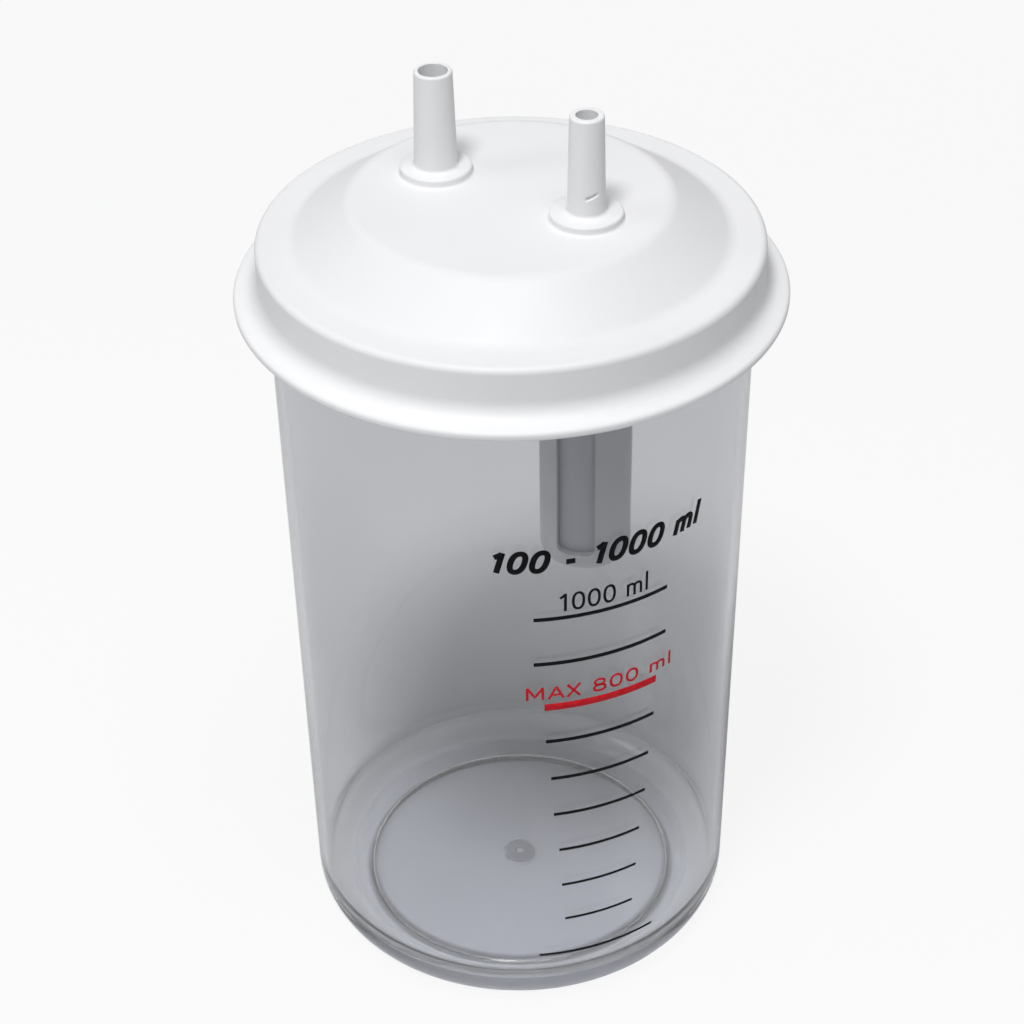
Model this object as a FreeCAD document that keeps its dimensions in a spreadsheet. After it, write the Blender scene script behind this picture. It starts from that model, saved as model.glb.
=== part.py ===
import FreeCAD, Part
import math
import os
import Sketcher

# Reusable suction canister: a clear jar, a one-piece lid with two hose spigots, a lid seal, and an
# overflow valve made of a slotted cage with a float in it.  Millimetres, +Z up, origin at the centre
# of the circle on which the jar stands.  The printed side of the jar faces -Y.

# Driving dimensions; turns are in degrees
sizes = {
    # Jar
    "jar_height": 190.0,
    "jar_rim_radius": 56.1,
    "jar_draft": 2.8,
    "jar_wall": 2.1,
    "jar_floor": 2.8,
    "base_corner": 10.0,
    "inner_corner": 8.0,
    "rim_outer_round": 0.8,
    "rim_inner_round": 0.5,
    "foot_width": 3.7,
    "foot_height": 3.2,
    "foot_round": 0.9,
    "gate_radius": 4.2,
    "gate_depth": 0.9,
    "sprue_radius": 1.0,
    "sprue_length": 0.6,
    # Lid shell
    "lid_wall": 2.0,
    "dome_rise": 9.6,
    "ring_width": 8.0,
    "slope_width": 13.5,
    "dome_round": 5.0,
    "dome_inner_round": 3.0,
    "lid_edge_round": 1.5,
    "skirt_wall": 1.55,
    "skirt_depth": 11.6,
    "skirt_blend": 4.0,
    "brim_width": 5.6,
    "brim_fall": 0.9,
    "brim_thickness": 2.2,
    "brim_round": 0.9,
    "skirt_lead": 0.8,
    "rib_thickness": 1.6,
    "rib_depth": 6.0,
    "jar_clearance": 0.35,
    # Lid seal
    "seal_thickness": 1.8,
    "seal_overhang": 1.5,
    "seal_clearance": 0.1,
    "seal_round": 0.4,
    # Hose ports, on one line through the lid's centre
    "port_offset": 20.2,
    "port_turn": -55.3,
    "collar_radius": 8.3,
    "collar_height": 2.0,
    "collar_round": 0.5,
    "collar_foot": 0.6,
    "spigot_height": 23.3,
    "spigot_round": 0.5,
    "spigot_foot": 0.8,
    "patient_base_radius": 5.0,
    "patient_tip_radius": 4.35,
    "patient_bore": 3.35,
    "drip_tube_radius": 5.2,
    "drip_tube_length": 10.0,
    "vacuum_base_radius": 4.3,
    "vacuum_tip_radius": 3.87,
    "vacuum_bore": 2.45,
    # Nick in the foot of the vacuum spigot
    "nick_height": 5.3,
    "nick_length": 3.0,
    "nick_width": 0.8,
    "nick_depth": 0.4,
    "nick_turn": -96.3,
    "nick_tilt": 20.0,
    # Valve parts of the lid
    "socket_length": 12.0,
    "socket_wall": 1.5,
    "nozzle_radius": 4.3,
    "nozzle_chamfer": 0.9,
    # Float cage; its inner corner is smaller than the float's clearance, so the float sits flat
    "cage_length": 87.2,
    "cage_mouth_radius": 11.1,
    "cage_draft": 0.35,
    "cage_wall": 1.5,
    "cage_floor": 1.8,
    "cage_corner": 3.0,
    "cage_inner_corner": 0.3,
    "cage_mouth_round": 0.4,
    "cage_drain_radius": 5.0,
    "cage_clearance": 0.1,
    "slot_count": 3,
    "slot_width": 9.2,
    "slot_length": 44.0,
    "slot_lift": 5.0,
    "slot_round": 1.5,
    "slot_turn": -6.8,
    # Float and its seal
    "float_clearance": 0.45,
    "float_height": 40.0,
    "float_wall": 1.1,
    "float_top": 1.6,
    "float_round": 0.4,
    "float_travel": 11.0,
    "seat_gap": 0.2,
    "head_height": 3.0,
    "bead_width": 0.4,
    "bead_height": 1.0,
    "cap_inset": 0.6,
    "cap_wall": 1.6,
    "cap_top": 1.5,
    "cap_round": 0.5,
    "cap_clearance": 0.05,
}

# Levels, radii and places that follow from the driving dimensions
derived = {
    "floor_level": "=foot_height + jar_floor",
    "gate_level": "=foot_height + gate_depth",
    "jar_base_radius": "=jar_rim_radius - jar_draft",
    "jar_spread": "=jar_draft / jar_height",
    "foot_radius": "=jar_base_radius - base_corner - foot_width",
    "jar_bore_foot": "=jar_base_radius + jar_spread * floor_level - jar_wall",
    "jar_bore_rim": "=jar_rim_radius - jar_wall",
    "ring_underside": "=jar_height + seal_thickness",
    "ring_top": "=ring_underside + lid_wall",
    "plateau_underside": "=ring_underside + dome_rise",
    "plateau_top": "=ring_top + dome_rise",
    "skirt_bore": "=jar_rim_radius + jar_clearance",
    "skirt_radius": "=skirt_bore + skirt_wall",
    "slope_radius": "=skirt_radius - ring_width",
    "plateau_radius": "=slope_radius - slope_width",
    "slope_angle": "=atan(dome_rise / slope_width)",
    "slope_shift": "=lid_wall * tan(slope_angle / 2)",
    "brim_radius": "=skirt_radius + brim_width",
    "brim_level": "=ring_top - skirt_depth",
    "brim_edge": "=brim_level - brim_fall",
    "seal_inner_radius": "=jar_bore_rim - seal_overhang",
    "seal_outer_radius": "=skirt_bore - seal_clearance",
    "rib_radius": "=seal_inner_radius - seal_clearance",
    "port_reach_x": "=port_offset * cos(port_turn)",
    "port_reach_y": "=port_offset * sin(port_turn)",
    "collar_level": "=plateau_top + collar_height",
    "spigot_tip": "=collar_level + spigot_height",
    "nick_level": "=collar_level + nick_height",
    "spigot_narrowing": "=(vacuum_base_radius - vacuum_tip_radius) / spigot_height",
    "nick_radius": "=vacuum_base_radius - spigot_narrowing * nick_height",
    "drip_end": "=plateau_underside - drip_tube_length",
    "socket_end": "=plateau_underside - socket_length",
    "cage_bottom": "=plateau_underside - cage_length",
    "cage_foot_radius": "=cage_mouth_radius - cage_draft",
    "cage_spread": "=cage_draft / cage_length",
    "cage_bore_mouth": "=cage_mouth_radius - cage_wall",
    "cage_bore_floor": "=cage_foot_radius + cage_spread * cage_floor - cage_wall",
    "slot_top": "=slot_lift + slot_length",
    "socket_radius": "=cage_bore_mouth - cage_spread * socket_length - cage_clearance",
    "float_radius": "=cage_bore_floor - float_clearance",
    "cap_radius": "=float_radius - cap_inset",
    "head_radius": "=cap_radius - cap_wall",
    "float_bottom": "=cage_bottom + cage_floor",
    "float_crown": "=float_bottom + float_height",
    "cap_crown": "=float_crown + head_height + cap_top",
    "seat_level": "=cap_crown + float_travel + seat_gap",
    "bead_radius": "=head_radius + bead_width",
    "bead_level": "=head_height - bead_height",
}

# Two places nearer than this are the same place
same_place = 0.005

# The corners of an outline start on a circle of this reach about this middle
seed_middle = FreeCAD.Vector(60, 100, 0)
seed_reach = 50


def fill_sheet(doc):
    """Write the driving dimensions as plain numbers, then the values that follow from them."""
    sheet = doc.addObject("Spreadsheet::Sheet", "Sizes")
    row = 1
    for table in (sizes, derived):
        for word, entry in table.items():
            sheet.set(f"A{row}", word)
            sheet.set(f"B{row}", str(entry))
            sheet.setAlias(f"B{row}", word)
            row += 1
    doc.recompute()
    return sheet


def formula(text):
    """Turn the names in a formula, such as 'ring_top - lid_wall', into references to cells."""
    words = []
    for word in text.split():
        sign = "-" if word.startswith("-") and len(word) > 1 else ""
        name = word[len(sign):]
        words.append(sign + ("Sizes." + name if name[0].isalpha() else name))
    return " ".join(words)


def new_body(doc, label):
    body = doc.addObject("PartDesign::Body", label)
    body.Label = label
    return body


def origin_part(body, role):
    return next(item for item in body.Origin.OriginFeatures if item.Role == role)


def attach(feature, body, plane):
    feature.AttachmentSupport = (origin_part(body, plane), [""])
    feature.MapMode = "FlatFace"


def outline(body, name, plane, corners):
    """Closed outline of straight lines; each corner is a name and two formulas, across and up."""
    sketch = body.newObject("Sketcher::SketchObject", name)
    attach(sketch, body, plane)
    count = len(corners)
    start = []
    for index in range(count):
        turn = 2 * math.pi * index / count
        start.append(seed_middle + FreeCAD.Vector(math.cos(turn), math.sin(turn), 0) * seed_reach)
    for index in range(count):
        sketch.addGeometry(Part.LineSegment(start[index], start[(index + 1) % count]), False)
    for index in range(count):
        sketch.addConstraint(Sketcher.Constraint("Coincident", index, 2, (index + 1) % count, 1))
    for index, (corner, across, up) in enumerate(corners):
        for kind, text, axis, seed in (("DistanceX", across, -2, start[index].x),
                                       ("DistanceY", up, -1, start[index].y)):
            if text == "0":
                sketch.addConstraint(Sketcher.Constraint("PointOnObject", index, 1, axis))
                continue
            place = sketch.addConstraint(Sketcher.Constraint(kind, -1, 1, index, 1, seed))
            sketch.setExpression(f"Constraints[{place}]", formula(text))
    return sketch


def revolve(body, name, corners):
    """Turn a half section about the Z axis; returns radius and level of each named corner."""
    sketch = outline(body, name + "Section", "XZ_Plane", corners)
    turned = body.newObject("PartDesign::Revolution", name)
    turned.Profile = sketch
    turned.ReferenceAxis = (sketch, ["V_Axis"])
    turned.Angle = 360
    body.Document.recompute()
    places = {}
    for index, (corner, across, up) in enumerate(corners):
        point = sketch.getPoint(index, 1)
        places[corner] = (point.x, point.y)
    return places


def ring_edges(shape, centre, radius, level):
    """Names of the circular edges of one radius about a vertical axis, at one level."""
    names = []
    for number, edge in enumerate(shape.Edges, 1):
        if edge.Curve.TypeId != "Part::GeomCircle":
            continue
        middle = edge.Curve.Center
        misses = (middle.x - centre[0], middle.y - centre[1], middle.z - level,
                  edge.Curve.Radius - radius)
        if max(abs(miss) for miss in misses) < same_place:
            names.append(f"Edge{number}")
    return names


def level_edges(shape, levels):
    """Names of the straight edges that lie flat at one of the given levels."""
    names = []
    for number, edge in enumerate(shape.Edges, 1):
        if edge.Curve.TypeId != "Part::GeomLine":
            continue
        ends = [corner.Point.z for corner in edge.Vertexes]
        if any(max(abs(end - level) for end in ends) < same_place for level in levels):
            names.append(f"Edge{number}")
    return names


def dress_edges(body, name, size, names, kind="Fillet"):
    """Round or chamfer the named edges of the body's last feature."""
    if not names:
        raise ValueError(f"{name} found no edge")
    base = body.Tip
    dressed = body.newObject("PartDesign::" + kind, name)
    dressed.Base = (base, names)
    dressed.setExpression("Radius" if kind == "Fillet" else "Size", formula(size))
    body.Document.recompute()


def dress_rings(body, name, size, rings, centre=(0, 0), kind="Fillet"):
    """Round or chamfer circular edges, each given as its radius and level."""
    names = []
    for radius, level in rings:
        names += ring_edges(body.Tip.Shape, centre, radius, level)
    dress_edges(body, name, size, names, kind)


def check_change(feature, before):
    """A cut or pad that points the wrong way changes nothing and shows no error."""
    cuts = "Subtractive" in feature.TypeId or "Pocket" in feature.TypeId
    after = feature.Shape.Volume
    if after == before or cuts != (after < before):
        raise ValueError(f"{feature.Name} does not change the solid as it should")


def upright(body, name, kind, spot, fields):
    """Vertical cylinder or cone, added or cut away, with its place and sizes bound to cells."""
    before = body.Tip.Shape.Volume
    feature = body.newObject("PartDesign::" + kind, name)
    attach(feature, body, "XY_Plane")
    for axis, text in zip("xyz", spot):
        feature.setExpression(f"AttachmentOffset.Base.{axis}", formula(text))
    for field, text in fields.items():
        feature.setExpression(field, formula(text))
    body.Document.recompute()
    check_change(feature, before)
    return feature


def stand_at_port(body, level):
    """Place a body of the valve under the vacuum port, with its foot at one level."""
    body.setExpression("Placement.Base.x", formula("port_reach_x"))
    body.setExpression("Placement.Base.y", formula("port_reach_y"))
    body.setExpression("Placement.Base.z", formula(level))


def make_jar(doc):
    """Clear tapered jar with a rounded base corner and a foot ring round its recessed base."""
    body = new_body(doc, "jar")
    at = revolve(body, "JarWall", [
        ("sprue centre", "0", "gate_level - sprue_length"),
        ("sprue tip", "sprue_radius", "gate_level - sprue_length"),
        ("sprue root", "sprue_radius", "gate_level"),
        ("gate top", "gate_radius", "gate_level"),
        ("gate mouth", "gate_radius", "foot_height"),
        ("recess corner", "foot_radius", "foot_height"),
        ("foot", "foot_radius", "0"),
        ("base corner", "jar_base_radius", "0"),
        ("rim outside", "jar_rim_radius", "jar_height"),
        ("rim inside", "jar_bore_rim", "jar_height"),
        ("floor corner", "jar_bore_foot", "floor_level"),
        ("floor centre", "0", "floor_level"),
    ])
    dress_rings(body, "BaseCorner", "base_corner", [at["base corner"]])
    dress_rings(body, "FloorCorner", "inner_corner", [at["floor corner"]])
    dress_rings(body, "FootRound", "foot_round", [at["foot"], at["recess corner"]])
    dress_rings(body, "RimOuterRound", "rim_outer_round", [at["rim outside"]])
    dress_rings(body, "RimInnerRound", "rim_inner_round", [at["rim inside"]])
    return body


def make_lid_seal(doc):
    """Flat sealing ring between the jar's rim and the lid."""
    body = new_body(doc, "lid_seal")
    at = revolve(body, "SealRing", [
        ("inner foot", "seal_inner_radius", "jar_height"),
        ("outer foot", "seal_outer_radius", "jar_height"),
        ("outer top", "seal_outer_radius", "ring_underside"),
        ("inner top", "seal_inner_radius", "ring_underside"),
    ])
    dress_rings(body, "SealRound", "seal_round", list(at.values()))
    return body


def turn_lid_shell(body):
    """Brim, skirt, sealing groove, slope and plateau of the lid as one turned shell."""
    at = revolve(body, "LidShell", [
        ("top centre", "0", "plateau_top"),
        ("plateau edge", "plateau_radius", "plateau_top"),
        ("slope foot", "slope_radius", "ring_top"),
        ("lid edge", "skirt_radius", "ring_top"),
        ("skirt foot", "skirt_radius", "brim_level"),
        ("brim top", "brim_radius", "brim_edge"),
        ("brim bottom", "brim_radius", "brim_edge - brim_thickness"),
        ("lead mouth", "skirt_bore + skirt_lead", "brim_level - brim_thickness"),
        ("lead end", "skirt_bore", "brim_level - brim_thickness + skirt_lead"),
        ("groove outside", "skirt_bore", "ring_underside"),
        ("groove inside", "rib_radius", "ring_underside"),
        ("rib outside", "rib_radius", "ring_underside - rib_depth"),
        ("rib inside", "rib_radius - rib_thickness", "ring_underside - rib_depth"),
        ("rib root", "rib_radius - rib_thickness", "ring_underside"),
        ("inner slope foot", "slope_radius - slope_shift", "ring_underside"),
        ("inner plateau edge", "plateau_radius - slope_shift", "plateau_underside"),
        ("underside centre", "0", "plateau_underside"),
    ])
    dress_rings(body, "DomeRound", "dome_round", [at["plateau edge"], at["slope foot"]])
    dress_rings(body, "DomeInnerRound", "dome_inner_round",
                [at["inner plateau edge"], at["inner slope foot"]])
    dress_rings(body, "LidEdge", "lid_edge_round", [at["lid edge"]])
    dress_rings(body, "SkirtBlend", "skirt_blend", [at["skirt foot"]])
    dress_rings(body, "BrimRound", "brim_round", [at["brim top"], at["brim bottom"]])


def add_socket(body):
    """Ring on the lid's underside that the float cage is pushed over."""
    spot = ("port_reach_x", "port_reach_y", "socket_end")
    upright(body, "Socket", "AdditiveCylinder", spot,
            {"Radius": "socket_radius", "Height": "plateau_underside - socket_end + lid_wall"})
    upright(body, "SocketHollow", "SubtractiveCylinder", spot,
            {"Radius": "socket_radius - socket_wall", "Height": "plateau_underside - socket_end"})


def add_port(body, sheet, name, side, base_radius, tip_radius, bore, tube_radius, tube_end):
    """Collared hose spigot, its tube under the lid and one bore through both."""
    across = side + "port_reach_x"
    along = side + "port_reach_y"
    upright(body, name + "Collar", "AdditiveCylinder", (across, along, "plateau_underside"),
            {"Radius": "collar_radius", "Height": "lid_wall + collar_height"})
    upright(body, name + "Spigot", "AdditiveCone", (across, along, "collar_level"),
            {"Radius1": base_radius, "Radius2": tip_radius, "Height": "spigot_height"})
    upright(body, name + "Tube", "AdditiveCylinder", (across, along, tube_end),
            {"Radius": tube_radius, "Height": "plateau_top - " + tube_end})
    upright(body, name + "Bore", "SubtractiveCylinder", (across, along, tube_end),
            {"Radius": bore, "Height": "spigot_tip - " + tube_end})
    sign = -1 if side else 1
    centre = (sign * sheet.get("port_reach_x"), sign * sheet.get("port_reach_y"))
    for word, size, radius, level in (
            ("CollarFoot", "collar_foot", "collar_radius", "plateau_top"),
            ("CollarRound", "collar_round", "collar_radius", "collar_level"),
            ("SpigotFoot", "spigot_foot", base_radius, "collar_level"),
            ("SpigotRound", "spigot_round", tip_radius, "spigot_tip")):
        dress_rings(body, name + word, size, [(sheet.get(radius), sheet.get(level))], centre)
    return centre


def cut_nick(body, sheet, centre):
    """Short slanting nick in the outside of the vacuum spigot."""
    before = body.Tip.Shape.Volume
    nick = body.newObject("PartDesign::SubtractiveBox", "Nick")
    attach(nick, body, "XY_Plane")
    nick.setExpression("Length", formula("nick_depth + nick_depth"))
    nick.setExpression("Width", formula("nick_length"))
    nick.setExpression("Height", formula("nick_width"))
    port = FreeCAD.Placement(FreeCAD.Vector(*centre, sheet.get("nick_level")),
                             FreeCAD.Rotation(FreeCAD.Vector(0, 0, 1), sheet.get("nick_turn")))
    wall = FreeCAD.Placement(
        FreeCAD.Vector(sheet.get("nick_radius") - sheet.get("nick_depth"), 0, 0),
        FreeCAD.Rotation(FreeCAD.Vector(1, 0, 0), sheet.get("nick_tilt")))
    corner = FreeCAD.Placement(
        FreeCAD.Vector(0, -sheet.get("nick_length") / 2, -sheet.get("nick_width") / 2),
        FreeCAD.Rotation())
    nick.AttachmentOffset = port.multiply(wall).multiply(corner)
    body.Document.recompute()
    check_change(nick, before)


def make_lid(doc, sheet):
    """One-piece lid with two hose ports, the socket for the float cage and the valve nozzle."""
    body = new_body(doc, "lid")
    turn_lid_shell(body)
    add_socket(body)
    add_port(body, sheet, "Patient", "-", "patient_base_radius", "patient_tip_radius",
             "patient_bore", "drip_tube_radius", "drip_end")
    centre = add_port(body, sheet, "Vacuum", "", "vacuum_base_radius", "vacuum_tip_radius",
                      "vacuum_bore", "nozzle_radius", "seat_level")
    dress_rings(body, "NozzleChamfer", "nozzle_chamfer",
                [(sheet.get("nozzle_radius"), sheet.get("seat_level"))], centre, "Chamfer")
    cut_nick(body, sheet, centre)
    return body


def make_float_cage(doc, sheet):
    """Slotted cup that is pushed on the lid's socket and holds the float."""
    body = new_body(doc, "float_cage")
    at = revolve(body, "CageCup", [
        ("drain bottom", "cage_drain_radius", "0"),
        ("foot", "cage_foot_radius", "0"),
        ("mouth outside", "cage_mouth_radius", "cage_length"),
        ("mouth inside", "cage_bore_mouth", "cage_length"),
        ("floor corner", "cage_bore_floor", "cage_floor"),
        ("drain top", "cage_drain_radius", "cage_floor"),
    ])
    dress_rings(body, "CageCorner", "cage_corner", [at["foot"]])
    dress_rings(body, "CageInnerCorner", "cage_inner_corner", [at["floor corner"]])
    dress_rings(body, "CageMouthRound", "cage_mouth_round", [at["mouth outside"]])
    window = outline(body, "SlotOutline", "YZ_Plane", [
        ("foot right", "slot_width / 2", "slot_lift"),
        ("top right", "slot_width / 2", "slot_top"),
        ("top left", "-slot_width / 2", "slot_top"),
        ("foot left", "-slot_width / 2", "slot_lift"),
    ])
    before = body.Tip.Shape.Volume
    slot = body.newObject("PartDesign::Pocket", "Slot")
    slot.Profile = window
    slot.Type = "ThroughAll"
    slot.Reversed = True
    doc.recompute()
    check_change(slot, before)
    slots = body.newObject("PartDesign::PolarPattern", "Slots")
    slots.Originals = [slot]
    slots.Axis = (origin_part(body, "Z_Axis"), [""])
    slots.Angle = 360
    slots.setExpression("Occurrences", formula("slot_count"))
    body.Tip = slots
    doc.recompute()
    dress_edges(body, "SlotRound", "slot_round",
                level_edges(slots.Shape, (sheet.get("slot_lift"), sheet.get("slot_top"))))
    stand_at_port(body, "cage_bottom")
    body.setExpression("Placement.Rotation.Angle", formula("slot_turn"))
    return body


def make_float(doc):
    """Float open at the bottom, with a beaded head for its seal."""
    body = new_body(doc, "float_body")
    at = revolve(body, "FloatShell", [
        ("skirt inside", "float_radius - float_wall", "0"),
        ("skirt outside", "float_radius", "0"),
        ("shoulder", "float_radius", "float_height"),
        ("neck foot", "head_radius", "float_height"),
        ("bead underside", "head_radius", "float_height + bead_level"),
        ("bead foot", "bead_radius", "float_height + bead_level"),
        ("bead top", "bead_radius", "float_height + head_height"),
        ("head centre", "0", "float_height + head_height"),
        ("hollow centre", "0", "float_height + head_height - float_top"),
        ("head hollow", "head_radius - float_wall", "float_height + head_height - float_top"),
        ("head hollow foot", "head_radius - float_wall", "float_height - float_top"),
        ("hollow corner", "float_radius - float_wall", "float_height - float_top"),
    ])
    dress_rings(body, "FloatRound", "float_round", [at["skirt outside"], at["shoulder"]])
    stand_at_port(body, "float_bottom")
    return body


def make_float_seal(doc):
    """Rubber cap that is stretched over the float's head."""
    body = new_body(doc, "float_seal")
    at = revolve(body, "Cap", [
        ("lip inside", "head_radius + cap_clearance", "0"),
        ("lip outside", "cap_radius", "0"),
        ("crown edge", "cap_radius", "head_height + cap_top"),
        ("crown centre", "0", "head_height + cap_top"),
        ("cavity centre", "0", "head_height"),
        ("groove top", "bead_radius + cap_clearance", "head_height"),
        ("groove foot", "bead_radius + cap_clearance", "bead_level"),
        ("lip top", "head_radius + cap_clearance", "bead_level"),
    ])
    dress_rings(body, "CapRound", "cap_round", [at["crown edge"]])
    stand_at_port(body, "float_crown")
    return body


def check_and_export(doc, bodies):
    """Write one file for each sub-part, once every object of the document is sound."""
    doc.recompute()
    for item in doc.Objects:
        if "Invalid" in item.State or "Error" in item.State:
            raise ValueError(f"{item.Name} failed: {item.State}")
    os.makedirs("parts", exist_ok=True)
    for body in bodies:
        if body.Shape.isNull() or not body.Shape.isValid():
            raise ValueError(f"{body.Label} has no valid shape")
        if len(body.Shape.Solids) != 1:
            raise ValueError(f"{body.Label} is not one solid")
        body.Shape.exportStep(f"parts/{body.Label}.step")
        print(body.Label, round(body.Shape.Volume / 1000, 2), "cm3")


doc = FreeCAD.newDocument("SuctionCanister")
sheet = fill_sheet(doc)
check_and_export(doc, [
    make_jar(doc),
    make_lid_seal(doc),
    make_lid(doc, sheet),
    make_float_cage(doc, sheet),
    make_float(doc),
    make_float_seal(doc),
])
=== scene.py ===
import math

import bpy
import numpy as np
from mathutils import Matrix, Vector
from mathutils.geometry import tessellate_polygon


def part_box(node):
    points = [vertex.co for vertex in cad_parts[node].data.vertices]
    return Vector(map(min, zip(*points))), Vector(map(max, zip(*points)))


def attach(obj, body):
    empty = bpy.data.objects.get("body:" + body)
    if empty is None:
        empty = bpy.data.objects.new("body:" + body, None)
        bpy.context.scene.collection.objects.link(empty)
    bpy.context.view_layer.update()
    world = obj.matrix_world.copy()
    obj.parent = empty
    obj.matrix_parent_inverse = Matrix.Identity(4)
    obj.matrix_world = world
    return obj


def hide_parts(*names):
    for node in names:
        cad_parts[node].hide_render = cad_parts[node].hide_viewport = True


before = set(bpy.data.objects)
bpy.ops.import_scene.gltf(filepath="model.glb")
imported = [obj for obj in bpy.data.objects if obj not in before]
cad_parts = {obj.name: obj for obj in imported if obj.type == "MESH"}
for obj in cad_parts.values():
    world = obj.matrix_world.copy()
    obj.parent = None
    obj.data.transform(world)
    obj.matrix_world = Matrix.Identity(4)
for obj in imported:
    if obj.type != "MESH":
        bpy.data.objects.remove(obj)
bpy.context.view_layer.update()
mm = 0.001    # sizes below are in millimetres where nothing else is said, meshes in metres
print("frame loaded, nodes:", ", ".join(sorted(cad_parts)))


def nodeBox(node):
    # Lowest and highest corner of a node in millimetres
    low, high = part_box(node)
    return np.array(low) / mm, np.array(high) / mm


jarHeight = nodeBox("jar")[1][2]
lidHigh = nodeBox("lid")[1]
sealLow, sealHigh = nodeBox("lid_seal")
cageHigh = nodeBox("float_cage")[1]
floatLow, floatHigh = nodeBox("float_body")
capTop = nodeBox("float_seal")[1][2]
valveSpot = (floatLow[:2] + floatHigh[:2]) / 2    # the valve's axis, under the vacuum port
patientSpot = -valveSpot


# outlines and surfaces

def roundedOutline(corners, steps=8, support=0.12, closed=False):
    # Each corner is (across, up, round), and the two ends of an open outline have no round. A
    # corner becomes an arc that touches both of its sides: the arc's middle lies on the line that
    # halves the corner, and its points turn evenly from one point of touch to the other. One point
    # is added on each side just beyond the arc, so that the shading beside it stays flat.
    spots = np.array([c[:2] for c in corners], float)
    share = np.linspace(0, 1, steps + 1)[:, None]
    count = len(spots)
    out = []
    for i in range(count):
        if not closed and i in (0, count - 1):
            out.append(spots[i][None])
            continue
        corner, size = spots[i], corners[i][2]
        toLast = spots[i - 1] - corner
        toNext = spots[(i + 1) % count] - corner
        lastRoom, nextRoom = np.linalg.norm(toLast), np.linalg.norm(toNext)
        toLast, toNext = toLast / lastRoom, toNext / nextRoom
        half = math.acos(max(-1, min(1, toLast @ toNext))) / 2
        reach = size / math.tan(half)
        halving = (toLast + toNext) / np.linalg.norm(toLast + toNext)
        middle = corner + halving * size / math.sin(half)
        first, last = corner + toLast * reach - middle, corner + toNext * reach - middle
        sweep = math.pi - 2 * half
        arc = np.sin((1 - share) * sweep) * first + np.sin(share * sweep) * last
        before = corner + toLast * min(reach + support, (reach + lastRoom) / 2)
        after = corner + toNext * min(reach + support, (reach + nextRoom) / 2)
        out += [before[None], middle + arc / math.sin(sweep), after[None]]
    return np.concatenate(out)


def turned(outline, around, spot=(0, 0)):
    # The outline's points (radius, height) swept round a vertical axis at spot: row i, column j is
    # (x + radius cos turn, y + radius sin turn, height).
    turn = np.linspace(0, 2 * math.pi, around, endpoint=False)
    radius, height = outline[:, :1], outline[:, 1:]
    return np.stack([spot[0] + radius * np.cos(turn), spot[1] + radius * np.sin(turn),
                     np.broadcast_to(height, (len(outline), around))], axis=2)


def gridFaces(rows, columns, start=0, closeRows=False):
    # Four-sided faces between neighbouring points of a grid that is stored row by row. Each row is
    # a ring, and closeRows joins the last row to the first.
    i = np.arange(rows if closeRows else rows - 1)[:, None]
    j = np.arange(columns)[None, :]
    nextRow, nextColumn = (i + 1) % rows, (j + 1) % columns
    quads = np.stack([i * columns + j, i * columns + nextColumn,
                      nextRow * columns + nextColumn, nextRow * columns + j], axis=2)
    return quads.reshape(-1, 4) + start


def fanFaces(row, pole):
    # Triangles from one ring of points to the point at its middle
    return np.stack([row, np.roll(row, -1), np.full(len(row), pole)], axis=1)


def signedVolume(points, faces):
    # Six times the volume, from a fan of triangles in each face; it is negative if they point in
    total = 0.0
    for corners in faces:
        first = points[corners[:, 0]]
        rest = [points[corners[:, k]] for k in range(1, corners.shape[1])]
        for second, third in zip(rest, rest[1:]):
            total += np.einsum("ij,ij->i", first, np.cross(second, third)).sum()
    return total


def newPiece(name, points, faces, body, material, replaces=()):
    # A closed mesh from points in millimetres and arrays of faces, turned outwards, shaded smooth
    if signedVolume(points, faces) < 0:
        faces = [f[:, ::-1] for f in faces]
    mesh = bpy.data.meshes.new(name)
    mesh.from_pydata((points * mm).tolist(), [], [c for f in faces for c in f.tolist()])
    mesh.polygons.foreach_set("use_smooth", np.ones(len(mesh.polygons), bool))
    mesh.materials.append(material)
    mesh.update()
    piece = bpy.data.objects.new(name, mesh)
    bpy.context.scene.collection.objects.link(piece)
    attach(piece, body)
    if replaces:
        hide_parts(*replaces)


def turnedPiece(name, outline, body, material, replaces, around):
    # A solid of revolution. An outline that starts on the axis ends there too and gets a point at
    # each pole, and any other is a closed ring.
    onAxis = outline[0, 0] < 1e-6
    rows = turned(outline[1:-1] if onAxis else outline, around)
    points = rows.reshape(-1, 3)
    faces = [gridFaces(len(rows), around, closeRows=not onAxis)]
    if onAxis:
        poles = [[0, 0, outline[0, 1]], [0, 0, outline[-1, 1]]]
        first = np.arange(around)
        last = first + (len(rows) - 1) * around
        faces += [fanFaces(first, len(points))[:, ::-1], fanFaces(last, len(points) + 1)]
        points = np.concatenate([points, poles])
    newPiece(name, points, faces, body, material, replaces)


# shader building blocks

def newMaterial(name):
    material = bpy.data.materials.new(name)
    material.use_nodes = True
    tree = material.node_tree
    return material, tree, tree.nodes["Principled BSDF"]


def noiseTexture(tree, scale, detail=3.0, upright=1.0):
    # Noise on the piece's own coordinates; upright below 1 draws the pattern out along the height
    place = tree.nodes.new("ShaderNodeTexCoord")
    mapping = tree.nodes.new("ShaderNodeMapping")
    mapping.inputs["Scale"].default_value = (1, 1, upright)
    noise = tree.nodes.new("ShaderNodeTexNoise")
    noise.inputs["Scale"].default_value = scale
    noise.inputs["Detail"].default_value = detail
    tree.links.new(place.outputs["Object"], mapping.inputs["Vector"])
    tree.links.new(mapping.outputs["Vector"], noise.inputs["Vector"])
    return noise.outputs["Fac"]


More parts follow.
